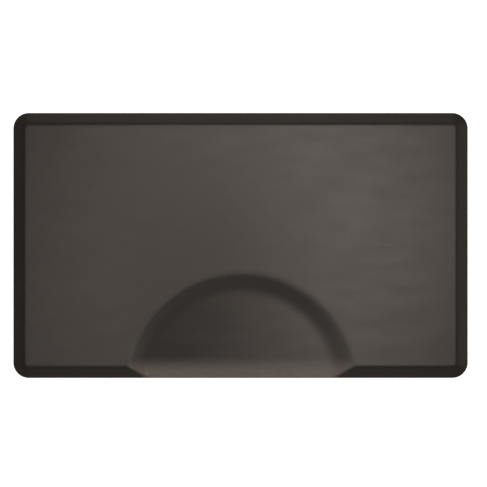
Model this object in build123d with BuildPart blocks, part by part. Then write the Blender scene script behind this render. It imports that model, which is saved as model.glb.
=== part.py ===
"""Anti-fatigue floor mat with a half-round recess for the foot of a round-based chair.

The mat is a lamination of four layers: a grained wear skin, a soft comfort foam, a firm support
foam and a non-slip backing. The row frame has +Z up and its origin at the centre of the underside.
X runs along the long side, and the recess opens at the front edge, which faces -Y.
"""

from build123d import *

import os
from math import atan2, cos, sin, tan

# Driving dimensions, in millimetres.
LENGTH = 1524.0
WIDTH = 889.0
THICKNESS = 22.0
CORNER_RADIUS = 52.0
NOSE_HEIGHT = 3.5  # upright rim below the bevel
BEVEL_RUN = 39.0  # width of the sloped border, in plan

SKIN_THICKNESS = 1.2
BACKING_THICKNESS = 2.0
FOAM_JOINT_HEIGHT = 11.0  # where the comfort foam is bonded to the support foam

RECESS_FLOOR_HEIGHT = 6.0
RECESS_FOOT_RADIUS = 322.5  # where the wall's slope would meet the floor
RECESS_BROW_RADIUS = 384.5  # where the wall's slope would meet the standing surface
RECESS_RIM_ROUNDING = 130.0  # radius of the soft edge between the wall and the standing surface
RECESS_RIM_RUNOUT = 0.05  # the soft edge levels out this far above the top, so it meets it in a line
RECESS_AXIS_SETBACK = 31.0  # how far the recess's axis stands in front of the front edge
FRONT_RAMP_RUN = 56.0  # the recess floor slopes down to the nose over this distance

CLEAR = 10.0  # how far a cutting tool reaches past what it cuts

# Derived sizes.
FRONT = -WIDTH / 2
RECESS_WALL_SLOPE = atan2(THICKNESS - RECESS_FLOOR_HEIGHT, RECESS_BROW_RADIUS - RECESS_FOOT_RADIUS)
RECESS_TOE_RADIUS = RECESS_FOOT_RADIUS - RECESS_FLOOR_HEIGHT / tan(RECESS_WALL_SLOPE)
RECESS_RIM_HEIGHT = THICKNESS + RECESS_RIM_RUNOUT
RECESS_WALL_END_HEIGHT = RECESS_RIM_HEIGHT - RECESS_RIM_ROUNDING * (1 - cos(RECESS_WALL_SLOPE))
RECESS_WALL_END_RADIUS = RECESS_TOE_RADIUS + RECESS_WALL_END_HEIGHT / tan(RECESS_WALL_SLOPE)
RECESS_RIM_RADIUS = RECESS_WALL_END_RADIUS + RECESS_RIM_ROUNDING * sin(RECESS_WALL_SLOPE)


def outline(inset=0.0):
    """Rounded rectangle of the mat's plan, drawn in by inset, in the current sketch."""
    return RectangleRounded(LENGTH - 2 * inset, WIDTH - 2 * inset, CORNER_RADIUS - inset)


def make_recess_tool():
    """What the chair recess takes away: a bowl with a sloped wall, above its floor and front ramp."""
    axis_plane = Plane.XZ.offset(-FRONT + RECESS_AXIS_SETBACK)
    with BuildPart() as tool:
        with BuildSketch(axis_plane):
            with BuildLine():
                wall = Line((RECESS_TOE_RADIUS, 0), (RECESS_WALL_END_RADIUS, RECESS_WALL_END_HEIGHT))
                rim = TangentArc(wall @ 1, (RECESS_RIM_RADIUS, RECESS_RIM_HEIGHT), tangent=wall % 1)
                Polyline(
                    rim @ 1,
                    (RECESS_RIM_RADIUS, THICKNESS + CLEAR),
                    (0, THICKNESS + CLEAR),
                    (0, 0),
                    wall @ 0,
                )
            make_face()
        revolve(axis=Axis(axis_plane.origin, (0, 0, 1)))
        with BuildSketch(Plane.YZ.offset(-LENGTH / 2)):
            with BuildLine():
                Polyline(
                    (FRONT - CLEAR, NOSE_HEIGHT),
                    (FRONT, NOSE_HEIGHT),
                    (FRONT + FRONT_RAMP_RUN, RECESS_FLOOR_HEIGHT),
                    (0, RECESS_FLOOR_HEIGHT),
                    (0, THICKNESS + 2 * CLEAR),
                    (FRONT - CLEAR, THICKNESS + 2 * CLEAR),
                    close=True,
                )
            make_face()
        extrude(amount=LENGTH, mode=Mode.INTERSECT)
    return tool.part


def make_moulded_form():
    """The whole outer form of the mat, from the floor to the standing surface."""
    with BuildPart() as form:
        with BuildSketch():
            outline()
        extrude(amount=NOSE_HEIGHT)
        with BuildSketch(Plane.XY.offset(NOSE_HEIGHT)):
            outline()
        with BuildSketch(Plane.XY.offset(THICKNESS)):
            outline(BEVEL_RUN)
        loft(ruled=True)
        add(make_recess_tool(), mode=Mode.SUBTRACT)
    return form.part


moulded_form = make_moulded_form()

# Everything inside the skin and above the backing: both foams as one form.
with BuildPart() as foam_form:
    add(moulded_form.moved(Location((0, 0, -SKIN_THICKNESS))))
    with BuildSketch(Plane.XY.offset(BACKING_THICKNESS)):
        outline(SKIN_THICKNESS)
    extrude(amount=THICKNESS, mode=Mode.INTERSECT)

# Wear skin: covers the top, the recess, the bevels and the nose, and stands on the backing.
with BuildPart() as top_skin:
    add(moulded_form)
    split(bisect_by=Plane.XY.offset(BACKING_THICKNESS), keep=Keep.TOP)
    add(foam_form.part, mode=Mode.SUBTRACT)

# Soft upper foam: the raised field round the recess.
with BuildPart() as comfort_foam:
    add(foam_form.part)
    split(bisect_by=Plane.XY.offset(FOAM_JOINT_HEIGHT), keep=Keep.TOP)

# Firm lower foam: reaches under the whole mat and is thin under the recess.
with BuildPart() as support_foam:
    add(foam_form.part)
    split(bisect_by=Plane.XY.offset(FOAM_JOINT_HEIGHT), keep=Keep.BOTTOM)

# Non-slip backing sheet, cut to the mat's outline.
with BuildPart() as grip_backing:
    with BuildSketch():
        outline()
    extrude(amount=BACKING_THICKNESS)

layers = {
    "top_skin": top_skin,
    "comfort_foam": comfort_foam,
    "support_foam": support_foam,
    "grip_backing": grip_backing,
}

os.makedirs("parts", exist_ok=True)
for name, layer in layers.items():
    layer.part.label = name
    export_step(layer.part, f"parts/{name}.step")
    print(name, len(layer.part.solids()), "solid(s)", round(layer.part.volume / 1000), "cm3")
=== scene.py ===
"""Anti-fatigue floor mat with a half-round chair recess, dressed in Blender around its CAD frame.

Metres, +Z up, origin at the centre of the underside. The recess opens at the front edge, -Y.
"""

from math import pi

import bmesh
import bpy
import numpy as np
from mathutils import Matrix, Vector


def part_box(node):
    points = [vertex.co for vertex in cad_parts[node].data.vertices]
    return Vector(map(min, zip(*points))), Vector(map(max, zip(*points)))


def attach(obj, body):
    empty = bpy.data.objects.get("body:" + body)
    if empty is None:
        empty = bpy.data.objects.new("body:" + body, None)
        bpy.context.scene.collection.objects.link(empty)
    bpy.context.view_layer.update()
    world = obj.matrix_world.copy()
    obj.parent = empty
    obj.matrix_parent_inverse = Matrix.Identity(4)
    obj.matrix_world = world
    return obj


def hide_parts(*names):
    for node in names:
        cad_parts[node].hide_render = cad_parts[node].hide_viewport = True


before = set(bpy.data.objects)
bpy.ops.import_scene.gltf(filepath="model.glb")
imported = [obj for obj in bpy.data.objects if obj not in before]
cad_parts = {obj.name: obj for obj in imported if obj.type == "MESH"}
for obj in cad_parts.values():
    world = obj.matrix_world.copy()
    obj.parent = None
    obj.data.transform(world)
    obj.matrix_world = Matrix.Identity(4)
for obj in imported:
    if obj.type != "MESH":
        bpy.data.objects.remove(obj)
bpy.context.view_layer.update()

# Sizes that the frame gives.
skin_low, skin_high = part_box("top_skin")
HALF_LENGTH = skin_high[0]
HALF_WIDTH = skin_high[1]
FRONT = skin_low[1]
THICKNESS = skin_high[2]
BACKING_TOP = skin_low[2]
FOAM_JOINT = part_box("comfort_foam")[0][2]

# Shape of the moulded top.
CORNER_RADIUS = 0.052
NOSE_HEIGHT = 0.0035
NOSE_RADIUS = NOSE_HEIGHT - BACKING_TOP
BEVEL_RUN = 0.039
BEVEL_SLOPE = (THICKNESS - NOSE_HEIGHT) / BEVEL_RUN
SKIN_THICKNESS = 0.0012
RECESS_AXIS_Y = FRONT - 0.031
RECESS_FLOOR = 0.006
RECESS_FOOT_RADIUS = 0.3225
RECESS_BROW_RADIUS = 0.3845
RECESS_WALL_SLOPE = (THICKNESS - RECESS_FLOOR) / (RECESS_BROW_RADIUS - RECESS_FOOT_RADIUS)
RAMP_RUN = 0.056
RAMP_SLOPE = (RECESS_FLOOR - NOSE_HEIGHT) / RAMP_RUN

# How wide the soft bend is, in plan, where two slopes meet.
BEVEL_BEND = 0.016
FOOT_BEND = 0.027  # between the recess's wall and its floor
BROW_BEND = 0.020  # between the recess's wall and the standing surface
RAMP_BEND = 0.037
NOSE_BEND = 0.003  # between the recess's wall and the front edge

# Finish of the skin: satin, duller in the recess, and lighter in colour on the recess's front lip as a
# painted highlight.
DARK_CHARCOAL = (0.0125, 0.0118, 0.0100)
LIGHT_CHARCOAL = (0.0150, 0.0132, 0.0116)
# Painted highlight: a lighter colour on the recess's front lip, standing in for the light that its forward
# slope catches.
LIP_PAINTED_HIGHLIGHT_COLOUR = (0.075, 0.066, 0.061)
FIELD_ROUGHNESS = 0.34
RECESS_ROUGHNESS = (0.66, 0.34)  # at the left and right of the recess
LIP_ROUGHNESS = 0.26
STREAK_STRETCH = (1, 3.5, 1)  # the gloss varies in faint streaks along X
STREAK_DEPTH = 0.025  # how far their roughness is from the field's
LIP_FRONT = 0.015  # the lip's painted highlight and its lower roughness fade out between these distances from the front edge
LIP_BACK = 0.078
LIP_SIDE = (0.006, -0.012)  # and between these distances beyond the foot of the recess's wall

# Mesh spacing.
EDGE_STEP = 0.003
FIELD_STEP = 0.007
GRIP_PITCH = 0.0102

# Grip pattern under the backing.
GROOVE_DEPTH = 0.0008
GROOVE_HALF_WIDTH = 0.0017

# Camera and stage.
CAMERA_HEIGHT = 3.3
VIEW_WIDTH = 1.6326  # how much of the mat's plane the picture spans
VIEW_CENTRE_X = 0.0099
VIEW_CENTRE_Y = 0.0066
SENSOR_WIDTH = 36.0
FLOOR_SIZE = 120.0
FLOOR_GAP = 0.0003  # the stage's floor lies this far under the mat
FLOOR_WHITE = 0.85
FLOOR_GLOW = 0.9
CEILING_HEIGHT = 3.6
CARD_DISTANCE = 3.5
CARD_CENTRE = 1.6
CARD_LENGTH = 3.0
CARD_HEIGHT = 2.0
LIGHT_COLOUR = (1.0, 0.87, 0.79)
ROOM_COLOUR = (0.17, 0.15, 0.13)


def blend_low(a, b, reach):
    """The lower of two heights, rounded off where they differ by less than reach."""
    overlap = np.maximum(reach - np.abs(a - b), 0)
    return np.minimum(a, b) - overlap**2 / (4 * reach)


def blend_high(a, b, reach):
    """The higher of two heights, rounded off where they differ by less than reach."""
    return -blend_low(-a, -b, reach)


def inset_at(x, y):
    """How far plan points lie inside the mat's outline."""
    across = np.abs(x) - (HALF_LENGTH - CORNER_RADIUS)
    along = np.abs(y) - (HALF_WIDTH - CORNER_RADIUS)
    beyond = np.hypot(np.maximum(across, 0), np.maximum(along, 0))
    return CORNER_RADIUS - beyond - np.minimum(np.maximum(across, along), 0)


def top_height(x, y):
    """Height of the moulded top: field, bevels, rolled nose and the recess with its ramp."""
    inset = inset_at(x, y)
    bevel = NOSE_HEIGHT + BEVEL_SLOPE * inset
    field = blend_low(THICKNESS, bevel, BEVEL_BEND * BEVEL_SLOPE / 2)

    ramp = NOSE_HEIGHT + RAMP_SLOPE * (y - FRONT)
    floor = blend_low(RECESS_FLOOR, ramp, RAMP_BEND * RAMP_SLOPE / 2)
    from_axis = np.hypot(x, y - RECESS_AXIS_Y)
    wall = RECESS_FLOOR + RECESS_WALL_SLOPE * (from_axis - RECESS_FOOT_RADIUS)
    recess = blend_high(floor, wall, FOOT_BEND * RECESS_WALL_SLOPE / 2)

    back = np.clip((y - FRONT) / BEVEL_RUN, 0, 1)
    rim_bend = NOSE_BEND + (BROW_BEND - NOSE_BEND) * back
    height = blend_low(field, recess, rim_bend * RECESS_WALL_SLOPE / 2)

    short = np.clip(NOSE_RADIUS - inset, 0, NOSE_RADIUS)
    height = height - NOSE_RADIUS + np.sqrt(NOSE_RADIUS**2 - short**2)
    return np.maximum(height, BACKING_TOP)


def stations(half, edge, step):
    """Grid lines across the mat: edge gives those near each end, and the rest are evenly spaced."""
    inner = half - edge[-1]
    field = np.linspace(-inner, inner, round(2 * inner / step) + 1)
    return np.concatenate([-half + edge[:-1], field, half - edge[-2::-1]])


def plan_grid(edge, step, shrink=0.0):
    """Plan points in rows and columns that follow the rounded corners, drawn in by shrink all round."""
    x, y = np.meshgrid(
        stations(HALF_LENGTH, edge, step),
        stations(HALF_WIDTH, edge, step),
        indexing="ij",
    )
    across = np.maximum(np.abs(x) - (HALF_LENGTH - CORNER_RADIUS), 0)
    along = np.maximum(np.abs(y) - (HALF_WIDTH - CORNER_RADIUS), 0)
    ring = np.maximum(across, along)
    share = np.minimum(across, along) / np.maximum(ring, 1e-9)
    turn = np.where(across >= along, share * pi / 4, pi / 2 - share * pi / 4)
    scale = (CORNER_RADIUS - shrink) / CORNER_RADIUS
    round_x = np.sign(x) * (np.abs(x) - across + ring * np.cos(turn) * scale)
    round_y = np.sign(y) * (np.abs(y) - along + ring * np.sin(turn) * scale)
    return round_x, round_y


def edge_loop(rows, columns):
    """Row and column numbers once round the rim of a grid, anticlockwise seen from above."""
    loop = [(i, 0) for i in range(rows - 1)]
    loop += [(rows - 1, j) for j in range(columns - 1)]
    loop += [(i, columns - 1) for i in range(rows - 1, 0, -1)]
    loop += [(0, j) for j in range(columns - 1, 0, -1)]
    return loop


def add_layer(bm, x, y, z, facing_up):
    """Adds a grid of quads to bm and returns its vertices and faces, indexed by row and column."""
    rows, columns = x.shape
    verts = [[bm.verts.new((x[i, j], y[i, j], z[i, j])) for j in range(columns)] for i in range(rows)]
    faces = []
    for i in range(rows - 1):
        for j in range(columns - 1):
            quad = [verts[i][j], verts[i + 1][j], verts[i + 1][j + 1], verts[i][j + 1]]
            faces.append(bm.faces.new(quad if facing_up else quad[::-1]))
    return verts, faces


def join_rims(bm, upper, lower):
    """Closes the gap between the rims of two grids with a band of quads that faces outwards."""
    loop = edge_loop(len(upper), len(upper[0]))
    for (i, j), (k, m) in zip(loop, loop[1:] + loop[:1]):
        bm.faces.new((upper[i][j], lower[i][j], lower[k][m], upper[k][m]))


def make_object(name, bm, material, smooth_angle=35):
    """Turns bm into an object of the scene, shaded smooth apart from edges sharper than smooth_angle."""
    mesh = bpy.data.meshes.new(name)
    bm.to_mesh(mesh)
    bm.free()
    mesh.materials.append(material)
    piece = bpy.data.objects.new(name, mesh)
    bpy.context.collection.objects.link(piece)
    mesh.shade_smooth()
    mesh.set_sharp_from_angle(angle=smooth_angle * pi / 180)
    return piece


def fine_edge():
    """Insets of the grid lines near the rim: crowded over the nose, then even across the bevel."""
    nose = NOSE_RADIUS * (1 - np.cos(np.linspace(0, pi / 2, 5)))
    bevel = np.arange(EDGE_STEP, CORNER_RADIUS + EDGE_STEP / 2, EDGE_STEP)
    return np.concatenate([nose, bevel])


def inner_surface():
    """The face between skin and foam: the moulded top moved in by the skin's thickness."""
    x, y = plan_grid(fine_edge(), FIELD_STEP, SKIN_THICKNESS)
    z = np.maximum(top_height(x, y) - SKIN_THICKNESS, BACKING_TOP)
    for rim in (z[0], z[-1], z[:, 0], z[:, -1]):
        rim[:] = BACKING_TOP
    return x, y, z


def make_top_skin(material):
    """Wear skin: a closed shell that covers the foam and stands on the backing."""
    bm = bmesh.new()
    x, y = plan_grid(fine_edge(), FIELD_STEP)
    outer, _ = add_layer(bm, x, y, top_height(x, y), facing_up=True)
    inner, _ = add_layer(bm, *inner_surface(), facing_up=False)
    join_rims(bm, outer, inner)
    return make_object("mat_top_skin", bm, material)


def make_foam(name, material, upper_part):
    """One of the two foams: the form inside the skin, cut at the joint between them."""
    bm = bmesh.new()
    x, y, z = inner_surface()
    top, _ = add_layer(bm, x, y, z, facing_up=True)
    base, _ = add_layer(bm, x, y, np.full_like(z, BACKING_TOP), facing_up=False)
    bmesh.ops.remove_doubles(bm, verts=bm.verts, dist=1e-6)
    cut = bmesh.ops.bisect_plane(
        bm,
        geom=bm.verts[:] + bm.edges[:] + bm.faces[:],
        dist=1e-7,
        plane_co=(0, 0, FOAM_JOINT),
        plane_no=(0, 0, 1),
        clear_outer=not upper_part,
        clear_inner=upper_part,
    )
    cut_edges = [item for item in cut["geom_cut"] if isinstance(item, bmesh.types.BMEdge)]
    bmesh.ops.edgeloop_fill(bm, edges=cut_edges)
    bmesh.ops.recalc_face_normals(bm, faces=bm.faces)
    return make_object(name, bm, material)


def make_grip_backing(material):
    """Backing sheet: flat on top, with rows of small square grip pads between grooves underneath."""
    bm = bmesh.new()
    edge = np.linspace(0, CORNER_RADIUS, round(CORNER_RADIUS / GRIP_PITCH) + 1)
    x, y = plan_grid(edge, GRIP_PITCH)
    upper, _ = add_layer(bm, x, y, np.full_like(x, BACKING_TOP), facing_up=True)
    z = np.zeros_like(x)
    z[1:-1, 1:-1] = GROOVE_DEPTH
    lower, cells = add_layer(bm, x, y, z, facing_up=False)
    join_rims(bm, upper, lower)
    bm.normal_update()
    pads = [cell for cell in cells if min(v.co.z for v in cell.verts) > GROOVE_DEPTH / 2]
    bmesh.ops.inset_individual(bm, faces=pads, thickness=GROOVE_HALF_WIDTH, depth=GROOVE_DEPTH)
    return make_object("mat_grip_backing", bm, material, smooth_angle=20)


def new_material(name, roughness, specular):
    """A node material; gives it, its node tree, its shader and a socket of object coordinates."""
    material = bpy.data.materials.new(name)
    material.use_nodes = True
    tree = material.node_tree
    shader = tree.nodes["Principled BSDF"]
    shader.inputs["Roughness"].default_value = roughness
    shader.inputs["Specular IOR Level"].default_value = specular
    coordinates = tree.nodes.new("ShaderNodeTexCoord").outputs["Object"]
    return material, tree, shader, coordinates


def noise(tree, coordinates, scale, detail=3.0):
    """A noise pattern with scale features to the metre."""
    node = tree.nodes.new("ShaderNodeTexNoise")
    node.inputs["Scale"].default_value = scale
    node.inputs["Detail"].default_value = detail
    tree.links.new(coordinates, node.inputs["Vector"])
    return node.outputs["Fac"]


def spread(tree, value, low, high):
    """Maps the middle of a pattern's range to low..high."""
    node = tree.nodes.new("ShaderNodeMapRange")
    node.inputs["From Min"].default_value = 0.3
    node.inputs["From Max"].default_value = 0.7
    node.inputs["To Min"].default_value = low
    node.inputs["To Max"].default_value = high
    tree.links.new(value, node.inputs["Value"])
    return node.outputs["Result"]


def two_tone(tree, value, dark, light):
    """Mixes two colours by a pattern; each is a colour socket or three numbers."""
    node = tree.nodes.new("ShaderNodeMix")
    node.data_type = "RGBA"
    sockets = [socket for socket in node.inputs if socket.type == "RGBA"]
    for socket, colour in zip(sockets, (dark, light)):
        if isinstance(colour, bpy.types.NodeSocket):
            tree.links.new(colour, socket)
        else:
            socket.default_value = (*colour, 1)
    tree.links.new(value, node.inputs["Factor"])
    return next(socket for socket in node.outputs if socket.type == "RGBA")


def cells(tree, coordinates, scale):
    """Distance pattern of pebble-like cells, scale of them to the metre."""
    node = tree.nodes.new("ShaderNodeTexVoronoi")
    node.inputs["Scale"].default_value = scale
    tree.links.new(coordinates, node.inputs["Vector"])
    return node.outputs["Distance"]


def bump(tree, height, depth, strength, below=None):
    """Turns a pattern into relief of the given depth in metres, on top of another bump if there is one."""
    node = tree.nodes.new("ShaderNodeBump")
    node.inputs["Strength"].default_value = strength
    node.inputs["Distance"].default_value = depth
    tree.links.new(height, node.inputs["Height"])
    if below is not None:
        tree.links.new(below, node.inputs["Normal"])
    return node.outputs["Normal"]


def arithmetic(tree, operation, first, second):
    """A Math node of two inputs, each a socket or a number."""
    node = tree.nodes.new("ShaderNodeMath")
    node.operation = operation
    for socket, value in zip(node.inputs, (first, second)):
        if isinstance(value, bpy.types.NodeSocket):
            tree.links.new(value, socket)
        else:
            socket.default_value = value
    return node.outputs["Value"]


def fade(tree, value, none_at, full_at, low=0.0, high=1.0):
    """Goes smoothly from low to high as value goes from none_at to full_at."""
    node = tree.nodes.new("ShaderNodeMapRange")
    node.interpolation_type = "SMOOTHSTEP"
    node.inputs["From Min"].default_value = none_at
    node.inputs["From Max"].default_value = full_at
    node.inputs["To Min"].default_value = low
    node.inputs["To Max"].default_value = high
    tree.links.new(value, node.inputs["Value"])
    return node.outputs["Result"]


def scaled(tree, coordinates, factors):
    """Coordinates multiplied axis by axis."""
    node = tree.nodes.new("ShaderNodeVectorMath")
    node.operation = "MULTIPLY"
    node.inputs[1].default_value = factors
    tree.links.new(coordinates, node.inputs[0])
    return node.outputs["Vector"]


def recess_masks(tree, coordinates):
    """Masks of the recess's front lip and of its hollow behind the lip, and a value that runs along X."""
    split = tree.nodes.new("ShaderNodeSeparateXYZ")
    tree.links.new(coordinates, split.inputs["Vector"])
    from_front = arithmetic(tree, "SUBTRACT", split.outputs["Y"], FRONT)
    distance = tree.nodes.new("ShaderNodeVectorMath")
    distance.operation = "DISTANCE"
    distance.inputs[1].default_value = (0, RECESS_AXIS_Y, 0)
    tree.links.new(scaled(tree, coordinates, (1, 1, 0)), distance.inputs[0])
    from_axis = distance.outputs["Value"]

    widening = (RECESS_BROW_RADIUS - RECESS_FOOT_RADIUS) / BEVEL_RUN
    over_bevel = arithmetic(tree, "MINIMUM", from_front, BEVEL_RUN)
    past_foot = arithmetic(tree, "SUBTRACT", from_axis, arithmetic(tree, "MULTIPLY", over_bevel, widening))
    inside = fade(tree, past_foot, *(RECESS_FOOT_RADIUS + beyond for beyond in LIP_SIDE))
    lip = arithmetic(tree, "MULTIPLY", inside, fade(tree, from_front, LIP_BACK, LIP_FRONT))
    within = fade(tree, from_axis, RECESS_BROW_RADIUS, RECESS_FOOT_RADIUS)
    hollow = arithmetic(tree, "MULTIPLY", within, fade(tree, from_front, LIP_FRONT, LIP_BACK))
    return lip, hollow, split.outputs["X"]


def make_skin_material():
    """Satin charcoal skin: leather grain, faint streaks, a duller recess and a painted highlight on the
    front lip.
    """
    material, tree, shader, coordinates = new_material("grained_skin", FIELD_ROUGHNESS, specular=0.5)
    lip, hollow, across = recess_masks(tree, coordinates)
    cloud = spread(tree, noise(tree, coordinates, scale=5.0), 0.0, 1.0)
    colour = two_tone(tree, cloud, DARK_CHARCOAL, LIGHT_CHARCOAL)
    # The front lip is mixed towards a lighter colour, a painted highlight.
    tree.links.new(two_tone(tree, lip, colour, LIP_PAINTED_HIGHLIGHT_COLOUR), shader.inputs["Base Color"])

    dull = fade(tree, across, -RECESS_FOOT_RADIUS, RECESS_FOOT_RADIUS, *RECESS_ROUGHNESS)
    duller = arithmetic(tree, "MULTIPLY", hollow, arithmetic(tree, "SUBTRACT", dull, FIELD_ROUGHNESS))
    polished = arithmetic(tree, "MULTIPLY", lip, LIP_ROUGHNESS - FIELD_ROUGHNESS)
    streaks = noise(tree, scaled(tree, coordinates, STREAK_STRETCH), scale=7.0, detail=4.0)
    uneven = spread(tree, streaks, FIELD_ROUGHNESS - STREAK_DEPTH, FIELD_ROUGHNESS + STREAK_DEPTH)
    roughness = arithmetic(tree, "ADD", uneven, arithmetic(tree, "ADD", duller, polished))
    tree.links.new(roughness, shader.inputs["Roughness"])

    grain = bump(tree, cells(tree, coordinates, scale=420.0), depth=0.00025, strength=0.5)
    crease = bump(tree, noise(tree, coordinates, scale=130.0), depth=0.0002, strength=0.3, below=grain)
    tree.links.new(crease, shader.inputs["Normal"])
    return material


def make_foam_material(name, dark, light, cell_scale):
    """Matt foam with fine open cells on its cut faces."""
    material, tree, shader, coordinates = new_material(name, roughness=0.85, specular=0.25)
    tone = spread(tree, noise(tree, coordinates, scale=40.0), 0.0, 1.0)
    tree.links.new(two_tone(tree, tone, dark, light), shader.inputs["Base Color"])
    relief = bump(tree, cells(tree, coordinates, cell_scale), depth=0.0004, strength=0.7)
    tree.links.new(relief, shader.inputs["Normal"])
    return material


def make_backing_material():
    """Black rubber with a dull, lightly scuffed face."""
    material, tree, shader, coordinates = new_material("grip_rubber", roughness=0.7, specular=0.4)
    tone = spread(tree, noise(tree, coordinates, scale=18.0), 0.0, 1.0)
    colour = two_tone(tree, tone, (0.012, 0.012, 0.012), (0.020, 0.019, 0.018))
    tree.links.new(colour, shader.inputs["Base Color"])
    scuffs = spread(tree, noise(tree, coordinates, scale=60.0), low=0.62, high=0.78)
    tree.links.new(scuffs, shader.inputs["Roughness"])
    relief = bump(tree, noise(tree, coordinates, scale=900.0), depth=0.0001, strength=0.4)
    tree.links.new(relief, shader.inputs["Normal"])
    return material


def make_floor():
    """Pale floor, bright enough to read as a plain white sweep."""
    material, _, shader, _ = new_material("pale_floor", roughness=0.9, specular=0.1)
    shader.inputs["Base Color"].default_value = (FLOOR_WHITE, FLOOR_WHITE, FLOOR_WHITE, 1)
    shader.inputs["Emission Color"].default_value = (1, 1, 1, 1)
    shader.inputs["Emission Strength"].default_value = FLOOR_GLOW
    bm = bmesh.new()
    bmesh.ops.create_grid(bm, x_segments=1, y_segments=1, size=FLOOR_SIZE / 2)
    floor = make_object("floor", bm, material)
    floor.location.z = -FLOOR_GAP


def make_camera():
    """A camera straight overhead, framing the mat as a plan view."""
    data = bpy.data.cameras.new("overhead_camera")
    data.sensor_width = SENSOR_WIDTH
    data.lens = SENSOR_WIDTH * (CAMERA_HEIGHT - NOSE_HEIGHT) / VIEW_WIDTH
    camera = bpy.data.objects.new("overhead_camera", data)
    camera.location = (VIEW_CENTRE_X, VIEW_CENTRE_Y, CAMERA_HEIGHT)
    bpy.context.collection.objects.link(camera)
    bpy.context.scene.camera = camera


def make_softbox(name, left, right, front, back, radiance):
    """A rectangular ceiling softbox over that stretch of floor, facing straight down."""
    data = bpy.data.lights.new(name, "AREA")
    data.shape = "RECTANGLE"
    data.size = right - left
    data.size_y = back - front
    data.energy = radiance * pi * data.size * data.size_y
    data.color = LIGHT_COLOUR
    light = bpy.data.objects.new(name, data)
    light.location = ((left + right) / 2, (front + back) / 2, CEILING_HEIGHT)
    bpy.context.collection.objects.link(light)


def make_side_card(name, side, radiance):
    """A low lit card that stands off one side of the mat and faces it."""
    data = bpy.data.lights.new(name, "AREA")
    data.shape = "RECTANGLE"
    data.size = CARD_LENGTH
    data.size_y = CARD_HEIGHT
    data.energy = radiance * pi * data.size * data.size_y
    data.color = LIGHT_COLOUR
    card = bpy.data.objects.new(name, data)
    card.location = Vector((*side, 0)) * CARD_DISTANCE + Vector((0, 0, CARD_CENTRE))
    card.rotation_euler = (-card.location).to_track_quat("-Z", "Y").to_euler()
    bpy.context.collection.objects.link(card)


make_camera()

top_skin = make_top_skin(make_skin_material())
comfort_foam = make_foam(
    "mat_comfort_foam",
    make_foam_material("soft_foam", (0.07, 0.07, 0.075), (0.1, 0.1, 0.105), 1100.0),
    upper_part=True,
)
support_foam = make_foam(
    "mat_support_foam",
    make_foam_material("firm_foam", (0.035, 0.035, 0.038), (0.055, 0.055, 0.06), 1600.0),
    upper_part=False,
)
grip_backing = make_grip_backing(make_backing_material())

for piece, node, slot in (
    (top_skin, "top_skin", "wear_skin"),
    (comfort_foam, "comfort_foam", "soft_foam"),
    (support_foam, "support_foam", "firm_foam"),
    (grip_backing, "grip_backing", "backing_rubber"),
):
    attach(piece, "root")
    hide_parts(node)

make_floor()
make_softbox("left_softbox", left=-1.5, right=-0.6, front=-1.5, back=0.9, radiance=2.5)
make_softbox("right_softbox", left=0.3, right=1.4, front=-1.0, back=0.9, radiance=4.2)
make_softbox("front_softbox", left=-0.7, right=0.8, front=-1.45, back=-1.1, radiance=3.4)
make_softbox("back_softbox", left=-0.9, right=1.3, front=0.7, back=1.4, radiance=4.6)
make_side_card("right_card", side=(1, 0), radiance=0.35)
make_side_card("front_card", side=(0, -1), radiance=0.25)
make_side_card("back_card", side=(0, 1), radiance=0.6)

world = bpy.data.worlds.new("studio")
world.use_nodes = True
world.node_tree.nodes["Background"].inputs["Color"].default_value = (*ROOM_COLOUR, 1)
bpy.context.scene.world = world
bpy.context.scene.view_settings.view_transform = "Standard"
